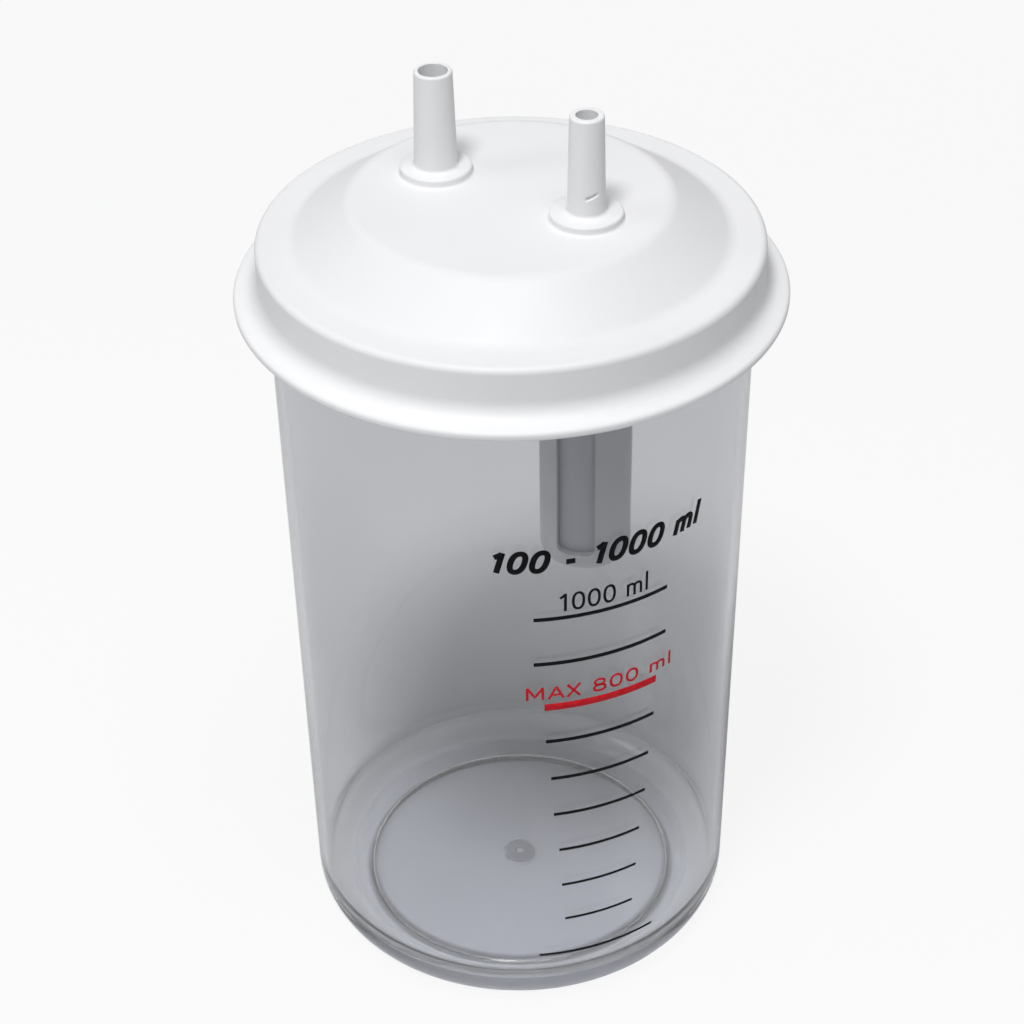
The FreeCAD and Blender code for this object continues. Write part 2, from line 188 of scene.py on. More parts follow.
def clouds(tree, source, dark, light):
    # The middle of a noise, from 0.35 to 0.65, runs from the dark colour to the light one
    node = tree.nodes.new("ShaderNodeValToRGB")
    for element, place, colour in zip(node.color_ramp.elements, (0.35, 0.65), (dark, light)):
        element.position = place
        element.color = (*colour, 1)
    tree.links.new(source, node.inputs["Fac"])
    return node.outputs["Color"]


def spread(tree, source, low, high):
    # Stretches the middle of a noise, from 0.3 to 0.7, to the range from low to high
    node = tree.nodes.new("ShaderNodeMapRange")
    node.inputs["From Min"].default_value = 0.3
    node.inputs["From Max"].default_value = 0.7
    node.inputs["To Min"].default_value = low
    node.inputs["To Max"].default_value = high
    tree.links.new(source, node.inputs["Value"])
    return node.outputs["Result"]


def addBump(tree, shader, source, strength, depth):
    # Unevenness that only the shading shows, with its depth in millimetres
    bump = tree.nodes.new("ShaderNodeBump")
    bump.inputs["Strength"].default_value = strength
    bump.inputs["Distance"].default_value = depth * mm
    tree.links.new(source, bump.inputs["Height"])
    tree.links.new(bump.outputs["Normal"], shader.inputs["Normal"])


def mathNode(tree, operation, *values):
    # One step of arithmetic on sockets and plain numbers
    node = tree.nodes.new("ShaderNodeMath")
    node.operation = operation
    for socket, value in zip(node.inputs, values):
        if isinstance(value, (int, float)):
            socket.default_value = value
        else:
            tree.links.new(value, socket)
    return node.outputs[0]


def smoothStep(tree, value, start, end):
    # 0 at start and 1 at end, with soft shoulders
    node = tree.nodes.new("ShaderNodeMapRange")
    node.interpolation_type = "SMOOTHSTEP"
    node.inputs["From Min"].default_value = start
    node.inputs["From Max"].default_value = end
    tree.links.new(value, node.inputs["Value"])
    return node.outputs["Result"]


def axisParts(tree):
    # The distance from the vertical axis, and the height
    place = tree.nodes.new("ShaderNodeTexCoord")
    parts = tree.nodes.new("ShaderNodeSeparateXYZ")
    flat = tree.nodes.new("ShaderNodeCombineXYZ")
    length = tree.nodes.new("ShaderNodeVectorMath")
    length.operation = "LENGTH"
    tree.links.new(place.outputs["Object"], parts.inputs["Vector"])
    tree.links.new(parts.outputs["X"], flat.inputs["X"])
    tree.links.new(parts.outputs["Y"], flat.inputs["Y"])
    tree.links.new(flat.outputs["Vector"], length.inputs[0])
    return length.outputs["Value"], parts.outputs["Z"]


def ringShare(tree, radius, reach, low, high, fade, share):
    # A share where the surface lies within reach of a radius round the axis and between two
    # heights, and 0 elsewhere. It is full over the inner 0.4 of the reach.
    distance, height = axisParts(tree)
    apart = mathNode(tree, "ABSOLUTE", mathNode(tree, "SUBTRACT", distance, radius * mm))
    near = smoothStep(tree, apart, reach * mm, reach * 0.4 * mm)
    under = smoothStep(tree, height, high * mm, (high - fade) * mm)
    over = smoothStep(tree, height, low * mm, (low + fade) * mm)
    level = mathNode(tree, "MULTIPLY", under, over)
    return mathNode(tree, "MULTIPLY", mathNode(tree, "MULTIPLY", near, level), share)


def darkened(tree, colour, dark, share):
    # The colour times a dark one, by a share. A mix of colours has its factor in socket 0, its
    # colours in 6 and 7 and its result in output 2.
    mix = tree.nodes.new("ShaderNodeMix")
    mix.data_type = "RGBA"
    mix.blend_type = "MULTIPLY"
    mix.inputs[7].default_value = (*dark, 1)
    tree.links.new(share, mix.inputs[0])
    tree.links.new(colour, mix.inputs[6])
    return mix.outputs[2]


# materials

plastics = dict(
    lidWhite=dict(dark=(0.855, 0.857, 0.87), light=(0.89, 0.891, 0.90), rough=(0.45, 0.55)),
    cageWhite=dict(dark=(0.80, 0.805, 0.82), light=(0.86, 0.865, 0.88), rough=(0.40, 0.50)),
    # painted shade: the float's white plastic is given a darker grey-blue for the shade it lies in
    # inside the cage
    floatGreyPaintedShade=dict(dark=(0.62, 0.64, 0.69), light=(0.68, 0.70, 0.75), rough=(0.35, 0.45)),
    sealRubber=dict(dark=(0.70, 0.70, 0.68), light=(0.76, 0.76, 0.74), rough=(0.55, 0.65)),
    capRubber=dict(dark=(0.60, 0.60, 0.59), light=(0.66, 0.66, 0.65), rough=(0.55, 0.65)))
plasticGrain = dict(cloudScale=14, glossScale=160, glossDetail=4, peelScale=900, peelDetail=2,
                    peelStrength=0.08, peelDepth=0.05, specular=0.4)


def mouldedPlastic(name, dark, light, rough):
    # Satin moulded plastic: slow clouds of colour, fine change of gloss, a very faint orange peel
    g = plasticGrain
    material, tree, shader = newMaterial(name)
    tree.links.new(clouds(tree, noiseTexture(tree, g["cloudScale"]), dark, light),
                   shader.inputs["Base Color"])
    tree.links.new(spread(tree, noiseTexture(tree, g["glossScale"], g["glossDetail"]), *rough),
                   shader.inputs["Roughness"])
    addBump(tree, shader, noiseTexture(tree, g["peelScale"], g["peelDetail"]),
            g["peelStrength"], g["peelDepth"])
    shader.inputs["Specular IOR Level"].default_value = g["specular"]
    return material


# Each ring lies round the jar's axis, within reach of a radius and between two heights, and fades
# out towards them.
smoky = dict(
    dark=(0.82, 0.824, 0.838), light=(0.86, 0.864, 0.878), rough=(0.02, 0.05), ior=1.49,
    lampShade=(0.72, 0.725, 0.745), cloudScale=9, cloudDetail=2, cloudUpright=0.35,
    glossScale=60, glossDetail=3, glossUpright=0.3, paintedShadeColour=(0.1, 0.1, 0.11),
    # Painted shade: these rings multiply the tint by a dark colour where the foot's inner face and
    # the gate's recess lie in shade
    paintedShadeRings=(
        dict(radius=39.6, reach=1.8, low=-1, high=3.4, fade=0.3, share=0.75),    # foot's inner face
        # painted shade in the gate's recess
        dict(radius=2.7, reach=2.1, low=-1, high=4.4, fade=0.3, share=0.6)),    # gate mark
    milkyRings=(
        dict(radius=47.5, reach=5, low=5, high=15, fade=1, share=0.35),    # inner corner
        dict(radius=48, reach=8, low=-9, high=16, fade=8, share=0.1),    # the whole thick corner
        dict(radius=0, reach=1.5, low=-1, high=4.4, fade=0.3, share=0.9)))    # sprue


def clearPlastic(name, s):
    # Clear smoky moulding: tinted transmission with faint flow clouds, painted shade in dark rings
    # at the foot's inner face and in the gate's recess, and milkier in rings where the plastic is
    # thick.
    # Light from the lamps goes straight through with a shade.
    material, tree, shader = newMaterial(name)
    flow = noiseTexture(tree, s["cloudScale"], s["cloudDetail"], s["cloudUpright"])
    tint = clouds(tree, flow, s["dark"], s["light"])
    # painted shade: the tint darkened in the dark rings
    for ring in s["paintedShadeRings"]:
        tint = darkened(tree, tint, s["paintedShadeColour"], ringShare(tree, **ring))
    tree.links.new(tint, shader.inputs["Base Color"])
    gloss = noiseTexture(tree, s["glossScale"], s["glossDetail"], s["glossUpright"])
    tree.links.new(spread(tree, gloss, *s["rough"]), shader.inputs["Roughness"])
    clear = 1.0
    for ring in s["milkyRings"]:
        clear = mathNode(tree, "SUBTRACT", clear, ringShare(tree, **ring))
    tree.links.new(clear, shader.inputs["Transmission Weight"])
    shader.inputs["IOR"].default_value = s["ior"]
    path = tree.nodes.new("ShaderNodeLightPath")
    through = tree.nodes.new("ShaderNodeBsdfTransparent")
    through.inputs["Color"].default_value = (*s["lampShade"], 1)
    mix = tree.nodes.new("ShaderNodeMixShader")
    tree.links.new(path.outputs["Is Shadow Ray"], mix.inputs["Fac"])
    tree.links.new(shader.outputs["BSDF"], mix.inputs[1])
    tree.links.new(through.outputs["BSDF"], mix.inputs[2])
    tree.links.new(mix.outputs["Shader"], tree.nodes["Material Output"].inputs["Surface"])
    return material


inks = dict(
    inkBlack=dict(dark=(0.004, 0.004, 0.005), light=(0.009, 0.009, 0.011)),
    inkRed=dict(dark=(0.55, 0.012, 0.02), light=(0.68, 0.02, 0.03)))
inkGrain = dict(cloudScale=700, glossScale=400, glossDetail=2, rough=(0.45, 0.6), specular=0.05)


def printInk(name, dark, light):
    # Screen-printed ink: slightly uneven colour and gloss
    g = inkGrain
    material, tree, shader = newMaterial(name)
    tree.links.new(clouds(tree, noiseTexture(tree, g["cloudScale"]), dark, light),
                   shader.inputs["Base Color"])
    gloss = noiseTexture(tree, g["glossScale"], g["glossDetail"])
    tree.links.new(spread(tree, gloss, *g["rough"]), shader.inputs["Roughness"])
    shader.inputs["Specular IOR Level"].default_value = g["specular"]
    return material


materials = {name: mouldedPlastic(name, **look) for name, look in plastics.items()}
materials["jarClear"] = clearPlastic("jarClear", smoky)
materials.update({name: printInk(name, **look) for name, look in inks.items()})
print("materials ready")


# jar

jar = dict(baseRadius=53.3, wall=2.1, floor=2.8, baseCorner=10.0, innerCorner=8.0, rimOut=0.8,
           rimIn=0.5, footWidth=3.7, footHeight=3.2, footRound=0.9, gateRadius=4.2, gateDepth=0.9,
           gateRound=0.44, sprueRadius=1.0, sprueLength=0.6, sprueTip=0.3, sprueFoot=0.28,
           sealWider=0.25, steps=12, around=256)
rimRadius = sealHigh[0] - jar["sealWider"]    # the seal ring is wider than the rim
draft = (rimRadius - jar["baseRadius"]) / jarHeight


def jarRadius(height):
    # The outside widens evenly from the foot to the rim
    return jar["baseRadius"] + draft * height


def jarOutline(j):
    # Half section from the gate's middle round the foot, up the outside and down to the floor
    footRadius = j["baseRadius"] - j["baseCorner"] - j["footWidth"]
    gateLevel = j["footHeight"] + j["gateDepth"]
    tipLevel = gateLevel - j["sprueLength"]
    floorLevel = j["footHeight"] + j["floor"]
    return roundedOutline([
        (0, tipLevel),
        (j["sprueRadius"], tipLevel, j["sprueTip"]),
        (j["sprueRadius"], gateLevel, j["sprueFoot"]),
        (j["gateRadius"], gateLevel, j["gateRound"]),
        (j["gateRadius"], j["footHeight"], j["gateRound"]),
        (footRadius, j["footHeight"], j["footRound"]),
        (footRadius, 0, j["footRound"]),
        (j["baseRadius"], 0, j["baseCorner"]),
        (rimRadius, jarHeight, j["rimOut"]),
        (rimRadius - j["wall"], jarHeight, j["rimIn"]),
        (jarRadius(floorLevel) - j["wall"], floorLevel, j["innerCorner"]),
        (0, floorLevel)], steps=j["steps"])


turnedPiece("jarShell", jarOutline(jar), "jar", materials["jarClear"], ["jar"],
            jar["around"])
print("jar made")


# printed scale

# The ten lines from the top one down, each length along the jar's surface. redLine counts from 0,
# step is the volume between two lines, and the ink is a film in front of a small gap.
scale = dict(
    lineHeights=(125.3, 112.3, 99.3, 88.8, 77.1, 65.5, 53.7, 41.9, 30.2, 18.4),
    lineLengths=(33.4, 33.4, 28.4, 27.7, 25.2, 23.9, 21.1, 19.7, 18.0, 30.9),
    lineWidths=(1.05, 1.05, 2.0, 1.0, 0.95, 0.9, 0.85, 0.8, 0.75, 0.75),
    redLine=2, step=100, gap=0.012, film=0.04, pointsAlong=40)
marks = dict(
    scaleTitle=dict(words="100 - 1000 ml", size=7.0, width=53, level=138.2, weight=1.4,
                    lean=0.26, ink="inkBlack"),
    scaleTop=dict(words="1000 ml", size=5.6, width=22, level=126.8, weight=0.66,
                  lean=0, ink="inkBlack"),
    scaleMax=dict(words="MAX 800 ml", size=4.3, width=37, level=101.4, weight=0.62,
                  lean=0, ink="inkRed"))
pen = dict(loopPoints=40, squareness=0.86, archPoints=16, archRise=0.17, legPoint=0.25,
           pointsPerStroke=6, spacing=0.35)

# Letters as centre lines in units of their height. Each has its advance and a list of strokes: a
# list of points, a loop (middle across, middle up, reach across, reach up) or an arch with its leg
# (left, right, top).
letters = {
    "0": (0.72, [("loop", 0.31, 0.50, 0.25, 0.45)]),
    "1": (0.60, [[(0.08, 0.76), (0.20, 0.83), (0.33, 0.95)], [(0.33, 1.0), (0.33, 0.0)]]),
    "8": (0.72, [("loop", 0.31, 0.735, 0.215, 0.215), ("loop", 0.31, 0.27, 0.255, 0.225)]),
    "-": (0.50, [[(0.04, 0.38), (0.38, 0.38)]]),
    "l": (0.26, [[(0.08, 1.08), (0.08, 0.0)]]),
    "m": (0.98, [[(0.08, 0.70), (0.08, 0.0)], ("arch", 0.08, 0.43, 0.66),
                 ("arch", 0.43, 0.78, 0.66)]),
    "M": (0.92, [[(0.07, 0.0), (0.07, 1.0)], [(0.07, 0.98), (0.40, 0.22), (0.73, 0.98)],
                 [(0.73, 1.0), (0.73, 0.0)]]),
    "A": (0.74, [[(0.02, 0.0), (0.34, 0.97), (0.66, 0.0)], [(0.13, 0.32), (0.55, 0.32)]]),
    "X": (0.68, [[(0.03, 1.0), (0.59, 0.0)], [(0.59, 1.0), (0.03, 0.0)]]),
    " ": (0.38, [])}


def wrappedPoints(across, height, out):
    # A flat drawing wrapped round the jar: across becomes an angle from the -Y side at the jar's
    # own radius, out a distance from its surface.
    radius = jarRadius(height)
    turn = across / radius
    reach = radius + out
    return np.stack([reach * np.sin(turn), -reach * np.cos(turn), height], axis=-1)


def inkRibbon(line, closed, width):
    # A ribbon of a width round a centre line: the two side points of each place lie on its normal,
    # and one pair lies just off the jar, the other a film further out.
    if closed:
        along = np.roll(line, -1, axis=0) - np.roll(line, 1, axis=0)
    else:
        along = np.gradient(line, axis=0)
    along /= np.linalg.norm(along, axis=1)[:, None]
    side = np.stack([-along[:, 1], along[:, 0]], axis=1) * width / 2
    left, right = line + side, line - side
    rows = np.stack([right, left, left, right], axis=1)
    inside, outside = scale["gap"], scale["gap"] + scale["film"]
    out = np.array([inside, inside, outside, outside]) + np.zeros((len(line), 1))
    points = wrappedPoints(rows[..., 0], rows[..., 1], out).reshape(-1, 3)
    quads = gridFaces(len(line), 4, closeRows=closed)
    if not closed:
        ends = np.array([[3, 2, 1, 0], [0, 1, 2, 3]])
        ends[1] += (len(line) - 1) * 4
        quads = np.concatenate([quads, ends])
    if signedVolume(points, [quads]) < 0:
        quads = quads[:, ::-1]
    return points, quads


def printedLine(name, level, length, width, ink):
    # A bar that runs evenly round the jar at one height
    along = np.linspace(-length / 2, length / 2, scale["pointsAlong"])
    points, quads = inkRibbon(np.stack([along, np.full(len(along), level)], axis=1), False, width)
    newPiece(name, points, [quads], "jar", materials[ink])


def strokeLine(stroke):
    # The centre line's points, and whether it closes on itself
    if stroke[0] == "loop":
        # a squarish oval: a power below 1 of sine and cosine pulls the curve towards its corners
        turn = np.linspace(0, 2 * math.pi, pen["loopPoints"], endpoint=False)
        c, s = np.cos(turn), np.sin(turn)
        x = stroke[1] + stroke[3] * np.sign(c) * np.abs(c) ** pen["squareness"]
        y = stroke[2] + stroke[4] * np.sign(s) * np.abs(s) ** pen["squareness"]
        return np.stack([x, y], axis=1), True
    if stroke[0] == "arch":
        # half an oval from left to right, then straight down to the line
        left, right, top = stroke[1:]
        middle, reach, rise = (left + right) / 2, (right - left) / 2, pen["archRise"]
        turn = np.linspace(math.pi, 0, pen["archPoints"])
        arc = np.stack([middle + reach * np.cos(turn), top - rise + rise * np.sin(turn)], axis=1)
        return np.concatenate([arc, [[right, pen["legPoint"]], [right, 0.0]]]), False
    points = np.array(stroke, float)
    share = np.linspace(0, 1, pen["pointsPerStroke"])[1:, None]
    runs = [start + (end - start) * share for start, end in zip(points[:-1], points[1:])]
    return np.concatenate([points[:1], *runs]), False


def printedText(name, words, size, width, level, weight, lean, ink):
    # Words of a size in height, stretched to a width round the jar; weight is the stroke's width
    # and lean slants the letters to the right.
    start = 0.0
    lines = []
    for letter in words:
        advance, strokes = letters[letter]
        for stroke in strokes:
            line, closed = strokeLine(stroke)
            lines.append((line + [start, 0], closed))
        start += advance + weight / size * pen["spacing"]
    everything = np.concatenate([line for line, closed in lines])
    low, high = everything[:, 0].min(), everything[:, 0].max()
    stretch = (width - weight) / (high - low)
    points, faces, count = [], [], 0
    for line, closed in lines:
        up = weight / 2 + line[:, 1] * (size - weight)
        across = (line[:, 0] - (low + high) / 2) * stretch + lean * (up - size / 2)
        some, quads = inkRibbon(np.stack([across, up + level], axis=1), closed, weight)
        points.append(some)
        faces.append(quads + count)
        count += len(some)
    newPiece(name, np.concatenate(points), [np.concatenate(faces)], "jar", materials[ink])


bars = list(zip(scale["lineHeights"], scale["lineLengths"], scale["lineWidths"]))
for number, bar in enumerate(bars):
    ink = "inkRed" if number == scale["redLine"] else "inkBlack"
    printedLine(f"scaleLine{(len(bars) - number) * scale['step']}", *bar, ink)
for name, mark in marks.items():
    printedText(name, **mark)
print("scale printed")


# lid

seal = dict(round=0.4, innerRadius=52.5, around=192)
lid = dict(wall=2.0, domeRise=9.6, ringWidth=8.0, slopeWidth=13.5, domeRound=5.0,
           domeInnerRound=3.0, edgeRound=1.5, skirtWall=1.55, skirtDepth=11.6, skirtBlend=4.0,
           brimWidth=5.6, brimFall=0.9, brimThickness=2.2, brimRound=0.9, lead=0.8,
           ribThickness=1.6, ribDepth=6.0, ribGap=0.1, endRound=0.3, grooveRound=0.2,
           sheetRadius=33.0, around=256)
port = dict(collarRadius=8.3, collarHeight=2.0, collarRound=0.5, collarFoot=0.6, spigotRound=0.5,
            spigotFoot=0.8, boreRound=0.15, marginTop=0.3, marginUnder=0.8, around=128)
# base, tip and bore are radii of the spigot, tube and nozzle those of what hangs below it.
patient = dict(base=5.0, tip=4.35, bore=3.35, tube=5.2, tubeLength=10.0, boreEnd=0.2)
vacuum = dict(base=4.3, tip=3.87, bore=2.45, nozzle=4.3, chamfer=0.9, seatRound=0.1, seatEdge=0.15,
              socketLength=12.0, socketWall=1.5, socketClearance=0.1, cageWall=1.5, cageDraft=0.05,
              seatGap=0.2, travel=11.0)
# level is above the collar; rows of points are added rowStep apart within rowReach of the nick.
nick = dict(level=5.3, length=3.0, width=0.8, depth=0.4, turn=-96.3, tilt=20.0, soft=0.32,
            skin=0.5, rowReach=1.4, rowStep=0.1)

ringUnder = sealHigh[2]
ringTop = ringUnder + lid["wall"]
plateauUnder = ringUnder + lid["domeRise"]
plateauTop = plateauUnder + lid["wall"]
collarTop = plateauTop + port["collarHeight"]
brimRadius = lidHigh[0]
skirtRadius = brimRadius - lid["brimWidth"]
skirtBore = skirtRadius - lid["skirtWall"]
slopeRadius = skirtRadius - lid["ringWidth"]
plateauRadius = slopeRadius - lid["slopeWidth"]
slopeShift = lid["wall"] * math.tan(math.atan2(lid["domeRise"], lid["slopeWidth"]) / 2)


def lidOutline(s):
    # Half section from the plateau's top over the slope, ring, skirt and brim and back underneath
    brimLevel = ringTop - s["skirtDepth"]
    brimEdge = brimLevel - s["brimFall"]
    under = brimLevel - s["brimThickness"]
    ribOut = seal["innerRadius"] - s["ribGap"]
    ribIn = ribOut - s["ribThickness"]
    ribFoot = ringUnder - s["ribDepth"]
    return roundedOutline([
        (s["sheetRadius"], plateauTop),
        (plateauRadius, plateauTop, s["domeRound"]),
        (slopeRadius, ringTop, s["domeRound"]),
        (skirtRadius, ringTop, s["edgeRound"]),
        (skirtRadius, brimLevel, s["skirtBlend"]),
        (brimRadius, brimEdge, s["brimRound"]),
        (brimRadius, brimEdge - s["brimThickness"], s["brimRound"]),
        (skirtBore + s["lead"], under, s["endRound"]),
        (skirtBore, under + s["lead"], s["endRound"]),
        (skirtBore, ringUnder, s["grooveRound"]),
        (ribOut, ringUnder, s["grooveRound"]),
        (ribOut, ribFoot, s["endRound"]),
        (ribIn, ribFoot, s["endRound"]),
        (ribIn, ringUnder, s["endRound"]),
        (slopeRadius - slopeShift, ringUnder, s["domeInnerRound"]),
        (plateauRadius - slopeShift, plateauUnder, s["domeInnerRound"]),
        (s["sheetRadius"], plateauUnder)])


def portTop(p):
    # From the plateau up the collar and the spigot, over its tip and down to the bore
    return [
        (port["collarRadius"] + port["collarFoot"] + port["marginTop"], plateauTop),
        (port["collarRadius"], plateauTop, port["collarFoot"]),
        (port["collarRadius"], collarTop, port["collarRound"]),
        (p["base"], collarTop, port["spigotFoot"]),
        (p["tip"], lidHigh[2], port["spigotRound"]),
        (p["bore"], lidHigh[2], port["boreRound"])]


def patientOutline(p):
    # The port's top, then down the bore, round the drip tube's end and up to the plateau
    end = plateauUnder - p["tubeLength"]
    return roundedOutline(portTop(p) + [
        (p["bore"], end, p["boreEnd"]),
        (p["tube"], end, lid["endRound"]),
        (p["tube"], plateauUnder, lid["endRound"]),
        (p["tube"] + port["marginUnder"], plateauUnder)])


def vacuumOutline(v):
    # The port's top, then down the bore to the seat, up the nozzle and round the cage's socket
    seat = capTop + v["travel"] + v["seatGap"]
    socketEnd = plateauUnder - v["socketLength"]
    cageBore = cageHigh[0] - valveSpot[0] - v["cageWall"] - v["cageDraft"]
    socketOut = cageBore - v["socketClearance"]
    socketIn = socketOut - v["socketWall"]
    return roundedOutline(portTop(v) + [
        (v["bore"], seat, v["seatRound"]),
        (v["nozzle"] - v["chamfer"], seat, v["seatEdge"]),
        (v["nozzle"], seat + v["chamfer"], v["seatEdge"]),
        (v["nozzle"], plateauUnder, lid["endRound"]),
        (socketIn, plateauUnder, lid["endRound"]),
        (socketIn, socketEnd, lid["endRound"]),
        (socketOut, socketEnd, lid["endRound"]),
        (socketOut, plateauUnder, lid["endRound"]),
        (socketOut + port["marginUnder"], plateauUnder)])


def addRows(outline, low, high, step):
    # Adds rows to the one straight stretch that climbs past both low and high
    i = np.flatnonzero((outline[:-1, 1] <= low) & (outline[1:, 1] >= high))[0]
    levels = np.arange(low, high, step)
    radii = np.interp(levels, outline[i:i + 2, 1], outline[i:i + 2, 0])
    return np.insert(outline, i + 1, np.stack([radii, levels], axis=1), axis=0)


def cutNick(rows, spot, level, tip):
    # Pushes the spigot's surface in by up to the nick's depth inside a slanting slot with soft
    # edges: along is the distance round the spigot, up the height above the slot's middle. The
    # bore, which lies deeper than the nick's skin, stays as it is.
    x, y, up = (rows[..., k] - v for k, v in enumerate((*spot, level)))
    radius = np.hypot(x, y)
    turn = np.angle(np.exp(1j * (np.arctan2(y, x) - math.radians(nick["turn"]))))
    along = turn * radius
    tilt = math.radians(nick["tilt"])
    u = along * math.cos(tilt) + up * math.sin(tilt)
    v = up * math.cos(tilt) - along * math.sin(tilt)
    inside = np.clip((nick["length"] / 2 - np.abs(u)) / nick["soft"] + 0.5, 0, 1)
    inside *= np.clip((nick["width"] / 2 - np.abs(v)) / nick["soft"] + 0.5, 0, 1)
    inside *= radius > tip - nick["skin"]
    cut = 1 - inside * nick["depth"] / np.maximum(radius, 1e-6)
    rows[..., 0] = spot[0] + x * cut
    rows[..., 1] = spot[1] + y * cut
    return rows


def flatSheet(rings, points, up):
    # Triangles of a flat sheet between its outer ring and the rings of its holes, all facing up or
    # all facing down; each ring is an array of point numbers.
    polygons = [[Vector(points[n]) for n in ring] for ring in rings]
    triangles = np.concatenate(rings)[np.array(tessellate_polygon(polygons))]
    a, b, c = (points[triangles[:, k]] for k in range(3))
    facing = np.cross(b - a, c - a)[:, 2] > 0
    return np.where((facing == up)[:, None], triangles, triangles[:, ::-1])


def makeLid():
    # The shell and the two ports are turned surfaces. A flat sheet on top joins the shell's first
    # ring of points to the first ring of each port, and one underneath joins their last rings.
    shell = turned(lidOutline(lid), lid["around"])
    patientRows = turned(patientOutline(patient), port["around"], patientSpot)
    level = collarTop + nick["level"]
    finer = addRows(vacuumOutline(vacuum), level - nick["rowReach"], level + nick["rowReach"],
                    nick["rowStep"])
    vacuumRows = turned(finer, port["around"], valveSpot)
    vacuumRows = cutNick(vacuumRows, valveSpot, level, vacuum["tip"])
    points, faces, firstRings, lastRings = [], [], [], []
    start = 0
    for rows in (shell, patientRows, vacuumRows):
        count, around = rows.shape[:2]
        faces.append(gridFaces(count, around, start))
        firstRings.append(start + np.arange(around))
        lastRings.append(start + (count - 1) * around + np.arange(around))
        points.append(rows.reshape(-1, 3))
        start += count * around
    points = np.concatenate(points)
    faces[0] = faces[0][:, ::-1]    # the shell's outline runs the other way from the ports'
    faces += [flatSheet(firstRings, points, True), flatSheet(lastRings, points, False)]
    newPiece("lidShell", points, faces, "lid", materials["lidWhite"], ["lid"])


makeLid()
print("lid made")


# lid seal

def sealOutline(s):
    # A four-cornered section between the jar's rim and the underside of the lid's ring
    inner, outer, low, high = s["innerRadius"], sealHigh[0], sealLow[2], sealHigh[2]
    return roundedOutline([(inner, low, s["round"]), (outer, low, s["round"]),
                           (outer, high, s["round"]), (inner, high, s["round"])], closed=True)


turnedPiece("sealRing", sealOutline(seal), "lid", materials["sealRubber"],
            ["lid_seal"], seal["around"])
print("seal made")


# valve

valveLooks = dict(
    float_cage=dict(slot="cage_white", finish="cageWhite"),
    float_body=dict(slot="float_white", finish="floatGreyPaintedShade"),
    float_seal=dict(slot="cap_rubber", finish="capRubber"))
for node, look in valveLooks.items():
    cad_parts[node].data.materials.clear()
    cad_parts[node].data.materials.append(materials[look["finish"]])
print("valve finished")


# stage, light and camera

# cameraWhite is the share of plain white in what the camera sees of the floor, and farWhite the
# share that is added from farFrom to farTo. worldMirrored is the share of white in gloss.
stage = dict(reach=12.0, drop=0.0001, floorColour=(0.84, 0.845, 0.86), floorRough=0.9,
             floorSpecular=0.1, cameraWhite=0.86, farFrom=0.3, farTo=1.0, farWhite=0.45,
             worldColour=(0.97, 0.985, 1.0), worldStrength=0.21, worldMirrored=0.5,
             lampDistance=1.5, lampAim=0.12)    # lengths in metres, the lamps' sizes too
lamps = dict(
    keyLamp=dict(azimuth=-42, elevation=64.5, size=0.28, power=9.1),
    sideLamp=dict(azimuth=-100, elevation=38, size=0.5, power=2.2),
    topLamp=dict(azimuth=-10, elevation=77, size=0.7, power=7.25))
# distance is from the object's axis; focal and frame are in pixels, angles in degrees.
camera = dict(azimuth=-21.3, distance=512.3, height=483.4, pitch=35.657, yaw=-0.078, roll=-0.9,
              focal=2587.8, frame=1024, sensor=36.0)


def rayShare(tree, shares):
    # The largest of the shares whose kind of ray it is
    path = tree.nodes.new("ShaderNodeLightPath")
    parts = [mathNode(tree, "MULTIPLY", path.outputs[f"Is {kind} Ray"], share)
             for kind, share in shares.items()]
    total = parts[0]
    for part in parts[1:]:
        total = mathNode(tree, "MAXIMUM", total, part)
    return total


def shownInstead(tree, share, lit, white):
    # White in place of the lit surface by a share, as long as the ray hasn't left a matt surface
    path = tree.nodes.new("ShaderNodeLightPath")
    straight = mathNode(tree, "LESS_THAN", path.outputs["Diffuse Depth"], 0.5)
    mix = tree.nodes.new("ShaderNodeMixShader")
    tree.links.new(mathNode(tree, "MULTIPLY", share, straight), mix.inputs["Fac"])
    tree.links.new(lit, mix.inputs[1])
    tree.links.new(white, mix.inputs[2])
    return mix.outputs["Shader"]


def makeFloor(s):
    # A pale sheet. The camera sees it nearly white, and far from the object, where the lamps don't
    # reach, it is as bright as near it.
    r, level = s["reach"], -s["drop"]
    mesh = bpy.data.meshes.new("floor")
    mesh.from_pydata([(-r, -r, level), (r, -r, level), (r, r, level), (-r, r, level)], [],
                     [(0, 1, 2, 3)])
    material, tree, shader = newMaterial("floorPale")
    shader.inputs["Base Color"].default_value = (*s["floorColour"], 1)
    shader.inputs["Roughness"].default_value = s["floorRough"]
    shader.inputs["Specular IOR Level"].default_value = s["floorSpecular"]
    white = tree.nodes.new("ShaderNodeEmission").outputs["Emission"]
    distance, height = axisParts(tree)
    beyond = mathNode(tree, "MULTIPLY", smoothStep(tree, distance, s["farFrom"], s["farTo"]),
                      s["farWhite"])
    seen = rayShare(tree, dict(Camera=1, Glossy=1, Transmission=1))
    far = mathNode(tree, "MULTIPLY", beyond, seen)
    lit = shownInstead(tree, far, shader.outputs["BSDF"], white)
    shown = shownInstead(tree, rayShare(tree, dict(Camera=s["cameraWhite"])), lit, white)
    tree.links.new(shown, tree.nodes["Material Output"].inputs["Surface"])
    mesh.materials.append(material)
    floor = bpy.data.objects.new("floor", mesh)
    bpy.context.scene.collection.objects.link(floor)


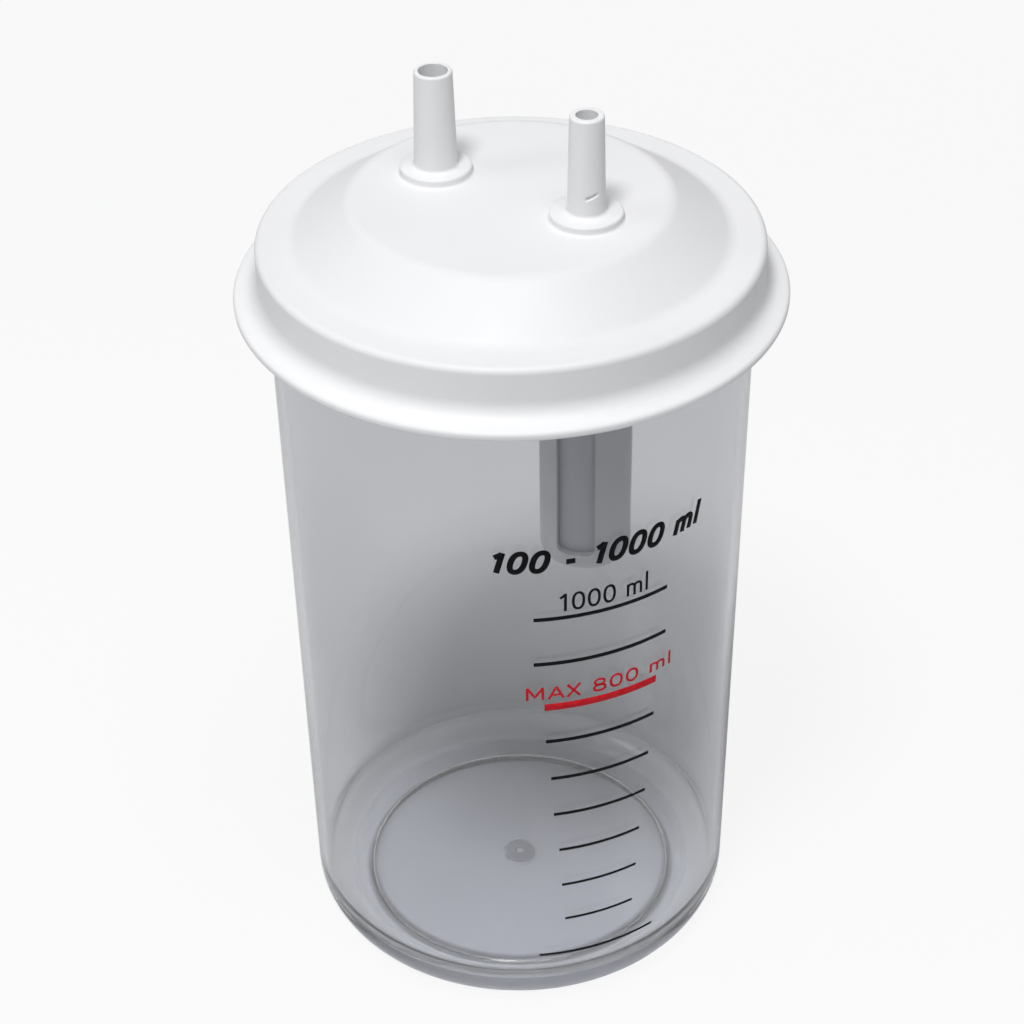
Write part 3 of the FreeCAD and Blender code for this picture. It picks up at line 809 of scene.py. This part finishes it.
def makeWorld(s):
    # Soft pale light on matt surfaces, and white for the camera, in gloss and through the jar
    world = bpy.data.worlds.new("studio")
    bpy.context.scene.world = world
    world.use_nodes = True
    tree = world.node_tree
    soft = tree.nodes["Background"]
    soft.inputs["Color"].default_value = (*s["worldColour"], 1)
    soft.inputs["Strength"].default_value = s["worldStrength"]
    white = tree.nodes.new("ShaderNodeBackground")
    white.inputs["Color"].default_value = (1, 1, 1, 1)
    share = rayShare(tree, dict(Camera=1, Glossy=s["worldMirrored"], Transmission=1))
    shown = shownInstead(tree, share, soft.outputs["Background"], white.outputs["Background"])
    tree.links.new(shown, tree.nodes["World Output"].inputs["Surface"])


def softLamp(name, azimuth, elevation, size, power):
    # A square lamp at an azimuth and elevation round a point on the object's axis, facing it
    a, e = math.radians(azimuth), math.radians(elevation)
    away = Vector((math.sin(a) * math.cos(e), -math.cos(a) * math.cos(e), math.sin(e)))
    light = bpy.data.lights.new(name, "AREA")
    light.shape = "SQUARE"
    light.size = size
    light.energy = power
    lamp = bpy.data.objects.new(name, light)
    lamp.location = Vector((0, 0, stage["lampAim"])) + away * stage["lampDistance"]
    lamp.rotation_mode = "QUATERNION"
    lamp.rotation_quaternion = away.to_track_quat("Z", "Y")
    bpy.context.scene.collection.objects.link(lamp)


def makeCamera(c):
    # The camera stands beside the object at an azimuth, looks down by pitch, turns by yaw and roll
    a, pitch, yaw, roll = (math.radians(c[k]) for k in ("azimuth", "pitch", "yaw", "roll"))
    toAxis = Vector((-math.sin(a), math.cos(a), 0))
    side = Vector((math.cos(a), math.sin(a), 0))
    level = math.cos(yaw) * toAxis + math.sin(yaw) * side
    ahead = math.cos(pitch) * level - Vector((0, 0, math.sin(pitch)))
    right = math.cos(yaw) * side - math.sin(yaw) * toAxis
    up = right.cross(ahead)
    rolledRight = math.cos(roll) * right + math.sin(roll) * up
    rolledUp = math.cos(roll) * up - math.sin(roll) * right
    lens = bpy.data.cameras.new("photoCamera")
    lens.sensor_width = c["sensor"]
    lens.lens = c["focal"] / c["frame"] * c["sensor"]
    lens.clip_start, lens.clip_end = 0.01, 50
    view = bpy.data.objects.new("photoCamera", lens)
    spot = -toAxis * c["distance"] * mm + Vector((0, 0, c["height"] * mm))
    turn = Matrix((rolledRight, rolledUp, -ahead)).transposed()
    view.matrix_world = Matrix.Translation(spot) @ turn.to_4x4()
    bpy.context.scene.collection.objects.link(view)
    bpy.context.scene.camera = view


makeFloor(stage)
makeWorld(stage)
for name, lamp in lamps.items():
    softLamp(name, **lamp)
makeCamera(camera)
bpy.context.scene.view_settings.view_transform = "Standard"
print("stage ready")
